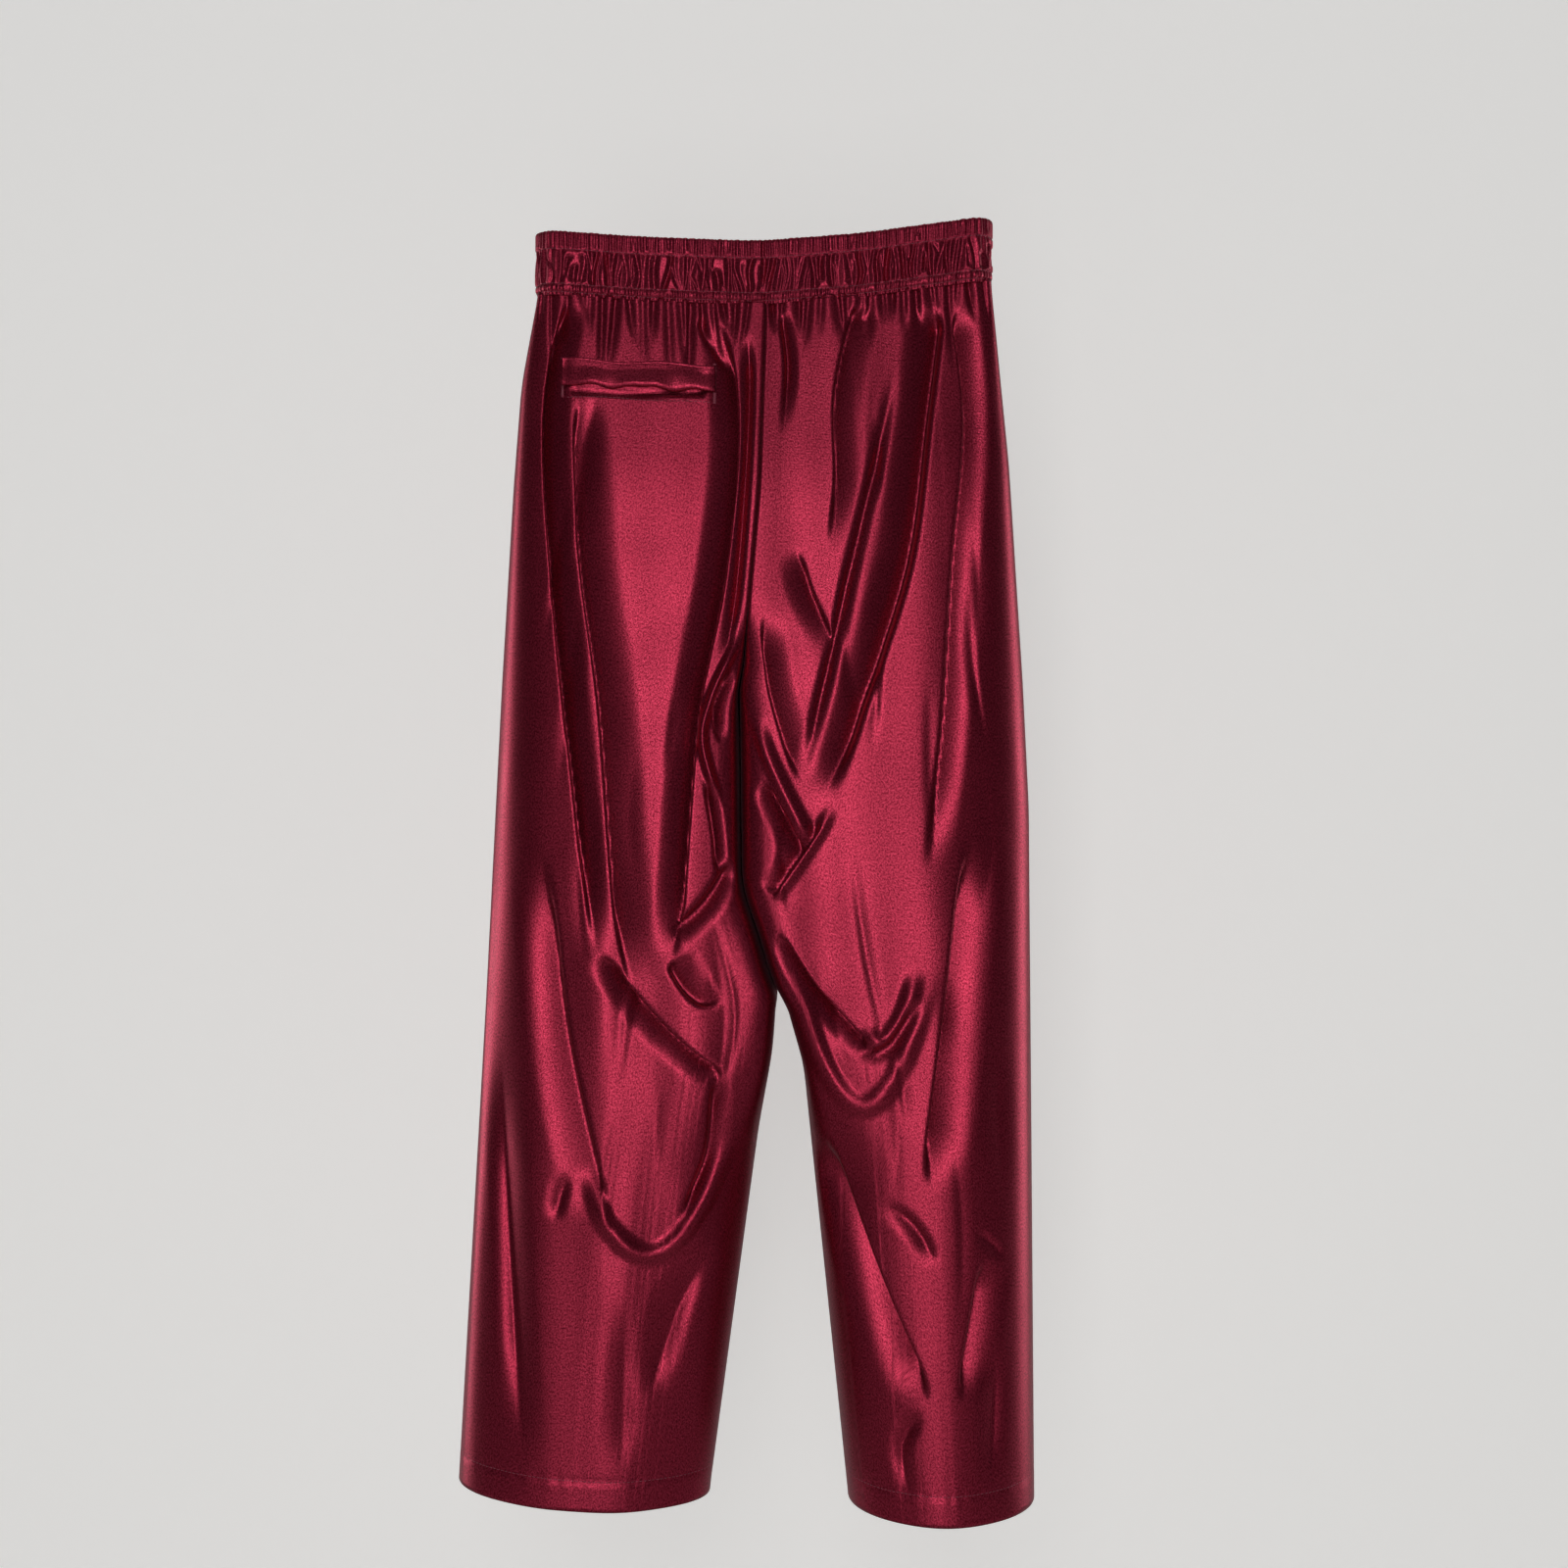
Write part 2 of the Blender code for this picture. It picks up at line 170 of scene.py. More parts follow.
# ---------- camera, lights and stage ----------

view = dict(distance=1.6, middle=(0.0158, -0.431), width=1.232)


def setCamera():
    data = bpy.data.cameras.new("camera")
    data.sensor_width = 36
    data.lens = data.sensor_width * view["distance"] / view["width"]
    camera = bpy.data.objects.new("camera", data)
    camera.location = (view["middle"][0], -view["distance"], view["middle"][1])
    camera.rotation_euler = (math.pi / 2, 0, 0)
    scene.collection.objects.link(camera)
    scene.camera = camera


lamps = dict(
    key=dict(at=(-0.15, -2.9, -0.25), to=(0, 0, -0.50), size=(0.7, 2.4), power=29, color=(1, 0.97, 0.97)),
    rear=dict(at=(0.3, 3.2, -0.2), to=(0, 0, -0.5), size=(0.7, 2.4), power=36, color=(1, 0.98, 0.98)),
    leftFlank=dict(at=(-1.3, 0.45, -0.5), to=(0, 0, -0.5), size=(0.6, 1.6), power=0.8,
                   color=(1, 0.97, 0.98), spread=45),
    rightFlank=dict(at=(1.3, 0.45, -0.5), to=(0, 0, -0.5), size=(0.6, 1.6), power=0.8,
                   color=(1, 0.97, 0.98), spread=45),
    top=dict(at=(0, -0.2, 3.2), to=(0, 0, -0.5), size=(1.6, 1.6), power=14, color=(1, 1, 1)),
)


def setLights():
    for name, lamp in lamps.items():
        data = bpy.data.lights.new(name, "AREA")
        data.shape = "RECTANGLE"
        data.size, data.size_y = lamp["size"]
        data.energy = lamp["power"]
        data.color = lamp["color"]
        data.spread = math.radians(lamp.get("spread", 180))
        made = bpy.data.objects.new(name, data)
        made.location = lamp["at"]
        aim = np.array(lamp["to"]) - np.array(lamp["at"])
        aim = aim / np.linalg.norm(aim)
        made.rotation_euler = (math.acos(-aim[2]), 0, math.atan2(aim[1], aim[0]) - math.pi / 2)
        scene.collection.objects.link(made)
    world = bpy.data.worlds.new("studio")
    world.use_nodes = True
    nodes, links = world.node_tree.nodes, world.node_tree.links
    seen = nodes["Background"]
    seen.inputs["Color"].default_value = (0.80, 0.80, 0.785, 1)
    seen.inputs["Strength"].default_value = 0.85
    lit = nodes.new("ShaderNodeBackground")
    lit.inputs["Color"].default_value = (0.80, 0.76, 0.82, 1)
    lit.inputs["Strength"].default_value = 0.07
    path = nodes.new("ShaderNodeLightPath")
    mix = nodes.new("ShaderNodeMixShader")
    links.new(path.outputs["Is Camera Ray"], mix.inputs["Fac"])
    links.new(lit.outputs["Background"], mix.inputs[1])
    links.new(seen.outputs["Background"], mix.inputs[2])
    links.new(mix.outputs["Shader"], nodes["World Output"].inputs["Surface"])
    scene.world = world


stage = dict(floorHeight=-1.60, wallPlace=0.62, paint=(0.72, 0.72, 0.705), glow=0.62)


def stageMaterial(name, oneSided):
    # evenly pale where it is looked at straight, and dim in reflections
    made = bpy.data.materials.new(name)
    made.use_nodes = True
    nodes, links = made.node_tree.nodes, made.node_tree.links
    paint = nodes["Principled BSDF"]
    paint.inputs["Base Color"].default_value = (*stage["paint"], 1)
    paint.inputs["Roughness"].default_value = 0.9
    paint.inputs["Specular IOR Level"].default_value = 0.1
    paint.inputs["Emission Color"].default_value = (*stage["paint"], 1)
    path = nodes.new("ShaderNodeLightPath")
    glow = nodes.new("ShaderNodeMath")
    glow.operation = "MULTIPLY"
    glow.inputs[1].default_value = stage["glow"]
    links.new(path.outputs["Is Camera Ray"], glow.inputs[0])
    links.new(glow.outputs[0], paint.inputs["Emission Strength"])
    if oneSided:
        # seen from behind, the wall isn't there
        clear = nodes.new("ShaderNodeBsdfTransparent")
        turned = nodes.new("ShaderNodeNewGeometry")
        mix = nodes.new("ShaderNodeMixShader")
        links.new(turned.outputs["Backfacing"], mix.inputs["Fac"])
        links.new(paint.outputs["BSDF"], mix.inputs[1])
        links.new(clear.outputs["BSDF"], mix.inputs[2])
        links.new(mix.outputs["Shader"], nodes["Material Output"].inputs["Surface"])
    return made


def setStage():
    floor = newMesh("floor", [(-6, -6, stage["floorHeight"]), (6, -6, stage["floorHeight"]),
                              (6, 6, stage["floorHeight"]), (-6, 6, stage["floorHeight"])],
                    [(0, 1, 2, 3)], stageMaterial("pale floor", False), smooth=False)
    y, low = stage["wallPlace"], stage["floorHeight"]
    wall = newMesh("wall", [(-6, y, low), (6, y, low), (6, y, 4), (-6, y, 4)], [(0, 1, 2, 3)],
                   stageMaterial("pale wall", True), smooth=False)
    wall.visible_shadow = False


setCamera()
setLights()
setStage()
print("camera, lights and stage set")

# ---------- materials ----------


def newGroup(name, inputs, outputs):
    group = bpy.data.node_groups.new(name, "ShaderNodeTree")
    for label, kind, value in inputs:
        socket = group.interface.new_socket(label, in_out="INPUT", socket_type=kind)
        if value is not None:
            socket.default_value = value
    for label, kind in outputs:
        group.interface.new_socket(label, in_out="OUTPUT", socket_type=kind)
    return group, group.nodes.new("NodeGroupInput"), group.nodes.new("NodeGroupOutput")


def weaveGroup():
    # fine cloth grain: stretched speckle from the loose filaments and faint ribs from the weft, read from
    # the cloth's own map in metres
    group, given, result = newGroup(
        "clothGrain",
        [("Vector", "NodeSocketVector", None), ("Grain Size", "NodeSocketFloat", 0.0009),
         ("Rib Size", "NodeSocketFloat", 0.0011), ("Rib Share", "NodeSocketFloat", 0.3)],
        [("Height", "NodeSocketFloat"), ("Speckle", "NodeSocketFloat"), ("Patch", "NodeSocketFloat")])
    nodes, links = group.nodes, group.links
    over = nodes.new("ShaderNodeMath")
    over.operation = "DIVIDE"
    over.inputs[0].default_value = 1
    links.new(given.outputs["Grain Size"], over.inputs[1])
    grain = nodes.new("ShaderNodeTexNoise")
    grain.inputs["Detail"].default_value = 2
    grain.inputs["Roughness"].default_value = 0.65
    stretch = nodes.new("ShaderNodeMapping")
    stretch.inputs["Scale"].default_value = (1.0, 0.7, 1)
    links.new(given.outputs["Vector"], stretch.inputs["Vector"])
    links.new(stretch.outputs["Vector"], grain.inputs["Vector"])
    links.new(over.outputs[0], grain.inputs["Scale"])
    # weft ribs run across the cloth
    split = nodes.new("ShaderNodeSeparateXYZ")
    links.new(given.outputs["Vector"], split.inputs[0])
    count = nodes.new("ShaderNodeMath")
    count.operation = "DIVIDE"
    links.new(split.outputs["Y"], count.inputs[0])
    links.new(given.outputs["Rib Size"], count.inputs[1])
    turn = nodes.new("ShaderNodeMath")
    turn.operation = "MULTIPLY"
    turn.inputs[1].default_value = math.tau
    links.new(count.outputs[0], turn.inputs[0])
    wave = nodes.new("ShaderNodeMath")
    wave.operation = "SINE"
    links.new(turn.outputs[0], wave.inputs[0])
    share = nodes.new("ShaderNodeMath")
    share.operation = "MULTIPLY"
    links.new(wave.outputs[0], share.inputs[0])
    links.new(given.outputs["Rib Share"], share.inputs[1])
    add = nodes.new("ShaderNodeMath")
    links.new(grain.outputs["Fac"], add.inputs[0])
    links.new(share.outputs[0], add.inputs[1])
    links.new(add.outputs[0], result.inputs["Height"])
    links.new(grain.outputs["Fac"], result.inputs["Speckle"])
    patch = nodes.new("ShaderNodeTexNoise")
    patch.inputs["Scale"].default_value = 14
    patch.inputs["Detail"].default_value = 3
    links.new(given.outputs["Vector"], patch.inputs["Vector"])
    links.new(patch.outputs["Fac"], result.inputs["Patch"])
    return group


grainGroup = weaveGroup()


def ramp(nodes, links, source, low, high, lowAt=0.3, highAt=0.7):
    made = nodes.new("ShaderNodeMapRange")
    made.inputs["From Min"].default_value = lowAt
    made.inputs["From Max"].default_value = highAt
    made.inputs["To Min"].default_value = low
    made.inputs["To Max"].default_value = high
    links.new(source, made.inputs["Value"])
    return made.outputs["Result"]


def mixColor(nodes, links, factor, first, second):
    mix = nodes.new("ShaderNodeMix")
    mix.data_type = "RGBA"
    links.new(factor, mix.inputs["Factor"])
    for value, socket in ((first, mix.inputs["A"]), (second, mix.inputs["B"])):
        if isinstance(value, tuple):
            socket.default_value = (*value, 1)
        else:
            links.new(value, socket)
    return mix.outputs["Result"]


satin = dict(dark=(0.15, 0.004, 0.017), light=(0.46, 0.033, 0.074), metallic=0.88, roughness=(0.34, 0.41),
             grain=0.0012, rib=0.0012, ribShare=0.22, bump=0.35, sheen=0.04)


def satinMaterial():
    made = bpy.data.materials.new("satin")
    made.use_nodes = True
    nodes, links = made.node_tree.nodes, made.node_tree.links
    shader = nodes["Principled BSDF"]
    place = nodes.new("ShaderNodeUVMap")
    place.uv_map = "cloth"
    grain = nodes.new("ShaderNodeGroup")
    grain.node_tree = grainGroup
    grain.inputs["Grain Size"].default_value = satin["grain"]
    grain.inputs["Rib Size"].default_value = satin["rib"]
    grain.inputs["Rib Share"].default_value = satin["ribShare"]
    links.new(place.outputs["UV"], grain.inputs["Vector"])
    speckle = ramp(nodes, links, grain.outputs["Speckle"], 0, 1, 0.36, 0.64)
    links.new(mixColor(nodes, links, speckle, satin["dark"], satin["light"]), shader.inputs["Base Color"])
    links.new(ramp(nodes, links, grain.outputs["Patch"], *satin["roughness"]), shader.inputs["Roughness"])
    shader.inputs["Metallic"].default_value = satin["metallic"]
    shader.inputs["Sheen Weight"].default_value = satin["sheen"]
    shader.inputs["Sheen Roughness"].default_value = 0.35
    shader.inputs["Sheen Tint"].default_value = (0.85, 0.55, 0.65, 1)
    bump = nodes.new("ShaderNodeBump")
    bump.inputs["Strength"].default_value = satin["bump"]
    bump.inputs["Distance"].default_value = 0.0002
    links.new(grain.outputs["Height"], bump.inputs["Height"])
    links.new(bump.outputs["Normal"], shader.inputs["Normal"])
    return made


def plainMaterial(name, dark, light, roughness, grainSize=0.0008, bumpSize=0.0002, sheen=0.2):
    # a matt woven or spun finish: two shades mixed by the grain, over the object's own coordinates
    made = bpy.data.materials.new(name)
    made.use_nodes = True
    nodes, links = made.node_tree.nodes, made.node_tree.links
    shader = nodes["Principled BSDF"]
    place = nodes.new("ShaderNodeTexCoord")
    grain = nodes.new("ShaderNodeGroup")
    grain.node_tree = grainGroup
    grain.inputs["Grain Size"].default_value = grainSize
    grain.inputs["Rib Size"].default_value = grainSize
    links.new(place.outputs["Object"], grain.inputs["Vector"])
    speckle = ramp(nodes, links, grain.outputs["Speckle"], 0, 1)
    links.new(mixColor(nodes, links, speckle, dark, light), shader.inputs["Base Color"])
    shader.inputs["Roughness"].default_value = roughness
    shader.inputs["Sheen Weight"].default_value = sheen
    bump = nodes.new("ShaderNodeBump")
    bump.inputs["Strength"].default_value = 0.4
    bump.inputs["Distance"].default_value = bumpSize
    links.new(grain.outputs["Height"], bump.inputs["Height"])
    links.new(bump.outputs["Normal"], shader.inputs["Normal"])
    return made


satinCloth = satinMaterial()
threadFinish = plainMaterial("sewing thread", (0.20, 0.015, 0.04), (0.42, 0.06, 0.11), 0.5, 0.0004)
pocketCloth = plainMaterial("pocket lining", (0.13, 0.008, 0.02), (0.22, 0.018, 0.04), 0.85)
webbing = plainMaterial("elastic webbing", (0.62, 0.60, 0.56), (0.80, 0.78, 0.74), 0.85, 0.0012)
labelTape = plainMaterial("label tape", (0.74, 0.72, 0.68), (0.86, 0.84, 0.80), 0.6, 0.0006)
print("materials made")

# ---------- the trousers' form ----------

form = dict(
    bandHeight=0.048,
    partingHeight=-0.597,
    hem=dict(left=-0.9875, right=-0.9965),
    bandTop=[(-0.178, -0.001), (-0.090, -0.007), (-0.005, -0.010), (0.075, -0.004), (0.178, 0.010)],
    sideSeam=dict(
        left=[(-0.045, 0.176), (-0.120, 0.190), (-0.200, 0.196), (-0.350, 0.205), (-0.600, 0.218),
              (-0.988, 0.240)],
        right=[(-0.040, 0.178), (-0.180, 0.192), (-0.350, 0.203), (-0.450, 0.208), (-0.997, 0.212)]),
    middle=[(-0.050, 0.002), (-0.200, -0.003), (-0.346, -0.016), (-0.510, -0.014), (-0.550, 0.000),
            (-0.597, 0.013)],
    inseam=dict(
        left=[(-0.597, 0.010), (-0.640, 0.007), (-0.700, -0.004), (-0.988, -0.043)],
        right=[(-0.597, 0.016), (-0.650, 0.031), (-0.997, 0.067)]),
    halfDepth=dict(
        left=[(-0.050, 0.0195), (-0.100, 0.026), (-0.200, 0.039), (-0.366, 0.050), (-0.600, 0.054),
              (-0.988, 0.056)],
        right=[(-0.050, 0.0195), (-0.100, 0.026), (-0.200, 0.039), (-0.366, 0.050), (-0.600, 0.056),
               (-0.997, 0.066)]),
    squareness=[(-0.048, 5.0), (-0.120, 3.2), (-0.300, 2.5), (-0.500, 2.2), (-0.990, 2.0)],
    centreOpen=(-0.400, -0.285),
    thighs=(-0.300, -0.740),
    thighSquareness=4.5,
    legGap=0.0004,
    legLap=0.0035,
)
sign = dict(left=-1, right=1, back=-1, front=1)


def bandTopAt(x):
    return lineAt(x, form["bandTop"], 0.02)


def halfDepthAt(side, across, z):
    # how far the cloth stands from the middle plane, without folds: across is 1 at the side seam and -1 at
    # the centre seam or inseam, and the section is half a squared ellipse that opens at the centre
    power = lineAt(z, form["squareness"], 0.03)
    # the inner thighs stay nearly flat up to the gap between the legs
    top, low = form["thighs"]
    thighs = ease((top - z) / 0.06) * ease((z - low) / 0.16)
    power = power + form["thighSquareness"] * thighs * ease(-across / 0.3)
    bulge = np.clip(1 - np.abs(across) ** power, 0, 1) ** (1 / power)
    low, high = form["centreOpen"]
    open_ = ease((z - low) / (high - low))
    bulge = np.where(across < 0, open_ + (1 - open_) * bulge, bulge)
    return lineAt(z, form["halfDepth"][side], 0.03) * bulge


def seamLines(side, z):
    outer = sign[side] * lineAt(z, form["sideSeam"][side], 0.02)
    middle = lineAt(z, form["middle"], 0.02) + sign[side] * form["legGap"] * ease((-0.34 - z) / 0.05)
    inner = lineAt(z, form["inseam"][side], 0.02)
    share = ease((form["partingHeight"] + 0.012 - z) / 0.024)
    return outer, middle * (1 - share) + inner * share


# The folds of the back. A fold is a groove or a ridge, its line from the upper end down as (x, height), its
# reach to the left and to the right and its depth in millimetres, and the share of its length over which each
# end fades. Lines that run sideways go from left to right.


def swag(left, right, sag, count=5):
    # a line that hangs between two points as a parabola
    t = np.linspace(0, 1, count)
    x = left[0] + (right[0] - left[0]) * t
    z = left[1] + (right[1] - left[1]) * t - 4 * sag * t * (1 - t)
    return list(zip(x, z))


leftSeatFolds = [
    # from the hip down the outer thigh, the long fold that turns under the seat
    ("groove", [(-0.150, -0.055), (-0.165, -0.150), (-0.155, -0.300), (-0.140, -0.430), (-0.125, -0.570)],
     7, 16, 11, (0.05, 0.22)),
    # its neighbour from under the pocket's outer corner
    ("groove", [(-0.142, -0.130), (-0.135, -0.260), (-0.120, -0.370), (-0.110, -0.500), (-0.100, -0.590)],
     7, 26, 9, (0.10, 0.14)),
    # beside the centre seam, from the gathers to the crotch
    ("groove", [(-0.035, -0.070), (-0.025, -0.160), (-0.035, -0.270), (-0.055, -0.380), (-0.070, -0.570)],
     18, 8, 12, (0.10, 0.12)),
    ("groove", [(-0.012, -0.080), (-0.012, -0.150), (-0.020, -0.270), (-0.030, -0.340)],
     8, 7, 6, (0.15, 0.20)),
    ("groove", [(-0.050, -0.070), (-0.030, -0.115)], 5, 7, 4, (0.10, 0.40)),
]

rightSeatFolds = [
    ("groove", [(0.015, -0.065), (0.020, -0.110), (0.015, -0.165)], 6, 8, 5, (0.10, 0.50)),
    ("groove", [(0.075, -0.060), (0.060, -0.130), (0.060, -0.200), (0.050, -0.255)], 7, 20, 9, (0.05, 0.35)),
    ("groove", [(0.105, -0.100), (0.085, -0.190), (0.055, -0.320), (0.030, -0.430)], 8, 9, 6, (0.30, 0.20)),
    # the broadest one, from the hip to the inner thigh
    ("groove", [(0.132, -0.060), (0.120, -0.150), (0.105, -0.260), (0.070, -0.370), (0.045, -0.445)],
     22, 12, 12, (0.05, 0.15)),
    ("groove", [(0.150, -0.060), (0.160, -0.150), (0.150, -0.260), (0.140, -0.400), (0.125, -0.500)],
     7, 18, 9, (0.05, 0.20)),
    ("groove", [(0.024, -0.250), (0.034, -0.288), (0.058, -0.335)], 16, 6, 7, (0.30, 0.50)),
    ("groove", [(0.000, -0.300), (0.010, -0.360), (0.030, -0.430)], 6, 17, 7, (0.25, 0.25)),
]

crotchFolds = [
    # the left leg's rolled edge, which leaves the centre seam and bows outwards, and the hollow beside it
    ("left", "ridge", [(-0.017, -0.315), (-0.038, -0.365), (-0.045, -0.400), (-0.030, -0.450)],
     6, 5, 6, (0.2, 0.2)),
    ("left", "groove", [(-0.022, -0.345), (-0.033, -0.375), (-0.030, -0.400)], 5, 11, 8, (0.2, 0.3)),
    ("left", "groove", [(-0.042, -0.425), (-0.034, -0.470), (-0.032, -0.500)], 5, 9, 7, (0.3, 0.2)),
    # the right leg's drag line towards the thigh, with a hollow under it
    ("right", "ridge", [(-0.006, -0.375), (0.006, -0.415), (0.036, -0.478)], 6, 9, 4, (0.3, 0.1)),
    ("right", "groove", [(0.000, -0.430), (0.013, -0.455), (0.028, -0.485)], 12, 5, 9, (0.2, 0.2)),
    ("right", "groove", [(0.046, -0.455), (0.022, -0.490), (0.006, -0.515)], 13, 5, 7, (0.3, 0.1)),
    ("right", "ridge", [(0.056, -0.445), (0.030, -0.485), (0.008, -0.518)], 6, 8, 4, (0.3, 0.1)),
]

leftLegFolds = [
    # swags from the outer thigh to the inseam, one above the other
    ("groove", swag((-0.125, -0.560), (-0.030, -0.655), 0.012), 15, 6, 11, (0.15, 0.12)),
    ("groove", swag((-0.068, -0.565), (-0.030, -0.590), 0.014), 9, 22, 9, (0.10, 0.35)),
    ("groove", swag((-0.072, -0.545), (-0.020, -0.490), 0.010), 14, 9, 10, (0.15, 0.20)),
    ("ridge", swag((-0.140, -0.720), (-0.025, -0.700), 0.078, 7), 10, 9, 5, (0.15, 0.20)),
    ("groove", [(-0.034, -0.650), (-0.040, -0.715), (-0.062, -0.765)], 8, 14, 8, (0.20, 0.25)),
    ("groove", [(-0.170, -0.480), (-0.155, -0.620), (-0.122, -0.765)], 28, 10, 9, (0.30, 0.14)),
    ("groove", [(-0.202, -0.630), (-0.195, -0.760), (-0.182, -0.955)], 18, 20, 8, (0.35, 0.35)),
    ("groove", [(-0.104, -0.820), (-0.108, -0.960)], 22, 20, 4, (0.40, 0.35)),
    ("groove", [(-0.036, -0.780), (-0.066, -0.830), (-0.090, -0.905)], 24, 20, 7, (0.35, 0.35)),
    ("groove", [(-0.150, -0.725), (-0.160, -0.765)], 12, 9, 4, (0.40, 0.40)),
]

rightLegFolds = [
    # drag lines from the crotch that turn up again at the back of the knee
    ("groove", [(0.012, -0.545), (0.040, -0.590), (0.078, -0.632)], 12, 5, 9, (0.15, 0.08)),
    ("ridge", swag((0.075, -0.615), (0.118, -0.570), 0.030), 9, 9, 5, (0.20, 0.30)),
    ("groove", swag((0.070, -0.640), (0.118, -0.595), 0.014), 9, 7, 6, (0.30, 0.25)),
    ("ridge", swag((0.022, -0.570), (0.128, -0.570), 0.105, 7), 11, 10, 4, (0.20, 0.30)),
    ("groove", [(0.160, -0.470), (0.145, -0.600), (0.126, -0.740)], 9, 30, 12, (0.25, 0.18)),
    ("groove", [(0.045, -0.700), (0.085, -0.810), (0.125, -0.900)], 28, 8, 11, (0.20, 0.18)),
    ("groove", [(0.118, -0.905), (0.105, -0.935), (0.112, -0.975)], 12, 10, 5, (0.20, 0.50)),
    ("groove", [(0.178, -0.850), (0.172, -0.965)], 15, 14, 4, (0.45, 0.40)),
    ("groove", [(0.090, -0.750), (0.112, -0.765), (0.132, -0.795)], 12, 9, 5, (0.35, 0.35)),
    ("groove", [(0.170, -0.790), (0.150, -0.900)], 7, 25, 7, (0.25, 0.30)),
    ("groove", [(0.162, -0.770), (0.184, -0.792)], 7, 6, 3, (0.35, 0.35)),
]

# the pocket's slot, under the welt's loose lower lip
slotLine = [(-0.151, -0.1270), (-0.100, -0.1290), (-0.042, -0.1275)]
slotFold = ("left", "groove", slotLine, 3, 5, 5, (0.06, 0.06))

backFolds = ([slotFold] + [("left", *fold) for fold in leftSeatFolds + leftLegFolds]
             + [("right", *fold) for fold in rightSeatFolds + rightLegFolds] + crotchFolds)


def gatherFolds(seed, left, right):
    # short creases that fan out under the waistband
    rng = np.random.default_rng(seed)
    made = []
    x = left
    while x < right:
        top = float(bandTopAt(np.array(x))) - form["bandHeight"]
        length = rng.choice([rng.uniform(0.020, 0.042), rng.uniform(0.042, 0.090)])
        lean = rng.uniform(-0.009, 0.009)
        depth = rng.uniform(1.8, 3.9)
        path = [(x, top + 0.004), (x + lean * 0.4, top - length * 0.5), (x + lean, top - length)]
        made.append(("groove", path, rng.uniform(3.6, 7.0), rng.uniform(3.6, 7.0), depth, (0.02, 0.75)))
        x += rng.uniform(0.0070, 0.0125)
    return made


def frontFolds(seed, side):
    # the front of the trousers: long soft folds that start in the gathers
    rng = np.random.default_rng(seed)
    low, high = (0.018, 0.180)
    made = []
    for i in range(6):
        x = low + (high - low) * (i + rng.uniform(0.2, 0.8)) / 6
        bottom = rng.uniform(-0.95, -0.40)
        path = [(sign[side] * (x + rng.uniform(-0.006, 0.006) + 0.012 * t), -0.075 + (bottom + 0.075) * t)
                for t in np.linspace(0, 1, 5)]
        made.append(("groove", path, rng.uniform(9, 18), rng.uniform(9, 18), rng.uniform(5, 9), (0.15, 0.4)))
    return made


def driftFolds(seed, side):
    # slight, long, shallow lines that follow the hang of the cloth between the main folds
    rng = np.random.default_rng(seed)
    made = []
    for _ in range(16):
        share, top = rng.uniform(0.12, 0.88), rng.uniform(-0.80, -0.09)
        bottom = top - rng.uniform(0.06, 0.20)
        outer, inner = seamLines(side, np.array([top, (top + bottom) / 2, bottom]))
        wander = np.array([0, rng.uniform(-0.02, 0.02), rng.uniform(-0.05, 0.05)])
        x = outer + (inner - outer) * (share + wander)
        path = list(zip(x, (top, (top + bottom) / 2, max(bottom, form["hem"][side] + 0.03))))
        left, right, depth = rng.uniform(5, 16), rng.uniform(5, 16), rng.uniform(0.6, 2.0)
        made.append(("groove", path, left, right, depth, (0.45, 0.45)))
    return made


def inMetres(folds):
    return [(kind, path, left / 1000, right / 1000, depth / 1000, ends)
            for kind, path, left, right, depth, ends in folds]


# how far the hem's outer and inner ends hang above the leg's hem height
hemRise = dict(left=(0.014, 0.003), right=(0.009, 0.008))


def hemLine(side, share):
    outer, inner = hemRise[side]
    return form["hem"][side] + outer * (1 - share) ** 2 + inner * share ** 2


panel = dict(underBand=0.002, columns=150, rows=325, thickness=0.0004, edgeRoll=0.0012, edgeWidth=0.0025,
             hemHeight=0.022, hemStep=0.0005, stitchDent=0.0007)
pocket = dict(mouth=(-0.225, -0.075), mouthWidth=0.006, weltX=(-0.156, -0.037), weltTop=-0.1030,
              weltLip=-0.1240, lowRow=-0.1325, slope=-0.0055)


def undulation(x, z, seed):
    # broad, slight unevenness of hanging cloth
    rng = np.random.default_rng(seed)
    total = np.zeros_like(x)
    for _ in range(7):
        a, b = rng.uniform(8, 45), rng.uniform(1.5, 9)
        total += rng.uniform(0.15, 0.45) * np.sin(x * a * 2.2 + z * b + rng.uniform(0, 6.3))
    return total / 1000 * (1 + 2.2 * ease((-0.42 - z) / 0.2))


def columnShares():
    # the columns' places from the side seam (0) to the inner edge (1), closer together towards both
    share = np.linspace(0, 1, panel["columns"] + 1)
    return share - 0.5 * np.sin(share * math.tau) / math.tau


def panelGrid(side):
    share = columnShares()
    down = np.linspace(0, 1, panel["rows"] + 1)[:, None]
    top = form["bandHeight"] - panel["underBand"]
    z = np.full((len(down), len(share)), -0.05)
    for _ in range(2):
        outer, inner = seamLines(side, z)
        x = outer + (inner - outer) * share
        high = bandTopAt(x) - top
        z = high + (hemLine(side, share) - high) * down
    outer, inner = seamLines(side, z)
    x = outer + (inner - outer) * share
    depth = halfDepthAt(side, 1 - 2 * share + 0 * z, z)
    return x, z, depth, share


